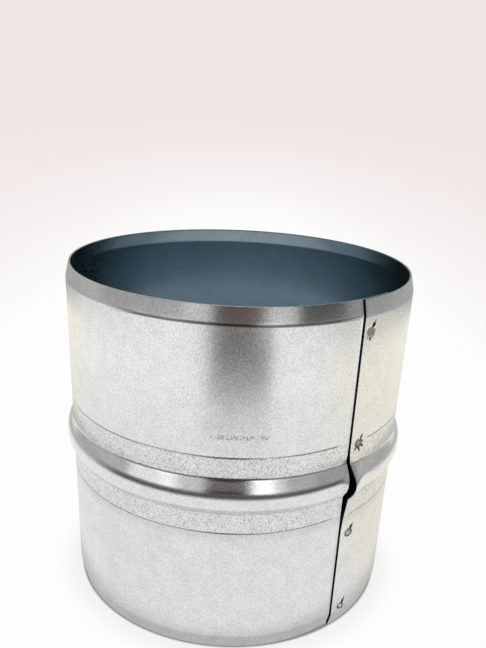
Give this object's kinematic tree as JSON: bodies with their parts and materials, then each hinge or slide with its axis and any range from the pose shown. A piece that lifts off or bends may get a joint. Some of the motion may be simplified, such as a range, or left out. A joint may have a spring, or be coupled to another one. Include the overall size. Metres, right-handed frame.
{
  "type": "duct connector",
  "caption": "Short straight sleeve of rolled galvanised sheet with a raised stop bead round the middle and a lead-in at each end, made to join lengths of round duct from the inside.",
  "frame": {"origin": "on the tube's axis, in the plane of the lower rim", "axes": "+Z along the tube's axis, upwards; the lapped seam's free edge is at 51.6 degrees from +X towards -Y, so it shows from the front right"},
  "size_m": [0.1026, 0.1026, 0.099],
  "materials": {
    "galvanised_sheet": "satin galvanised, fine grey speckle"
  },
  "bodies": {
    "root": {"duct_connector": "galvanised_sheet"}
  },
  "joints": []
}
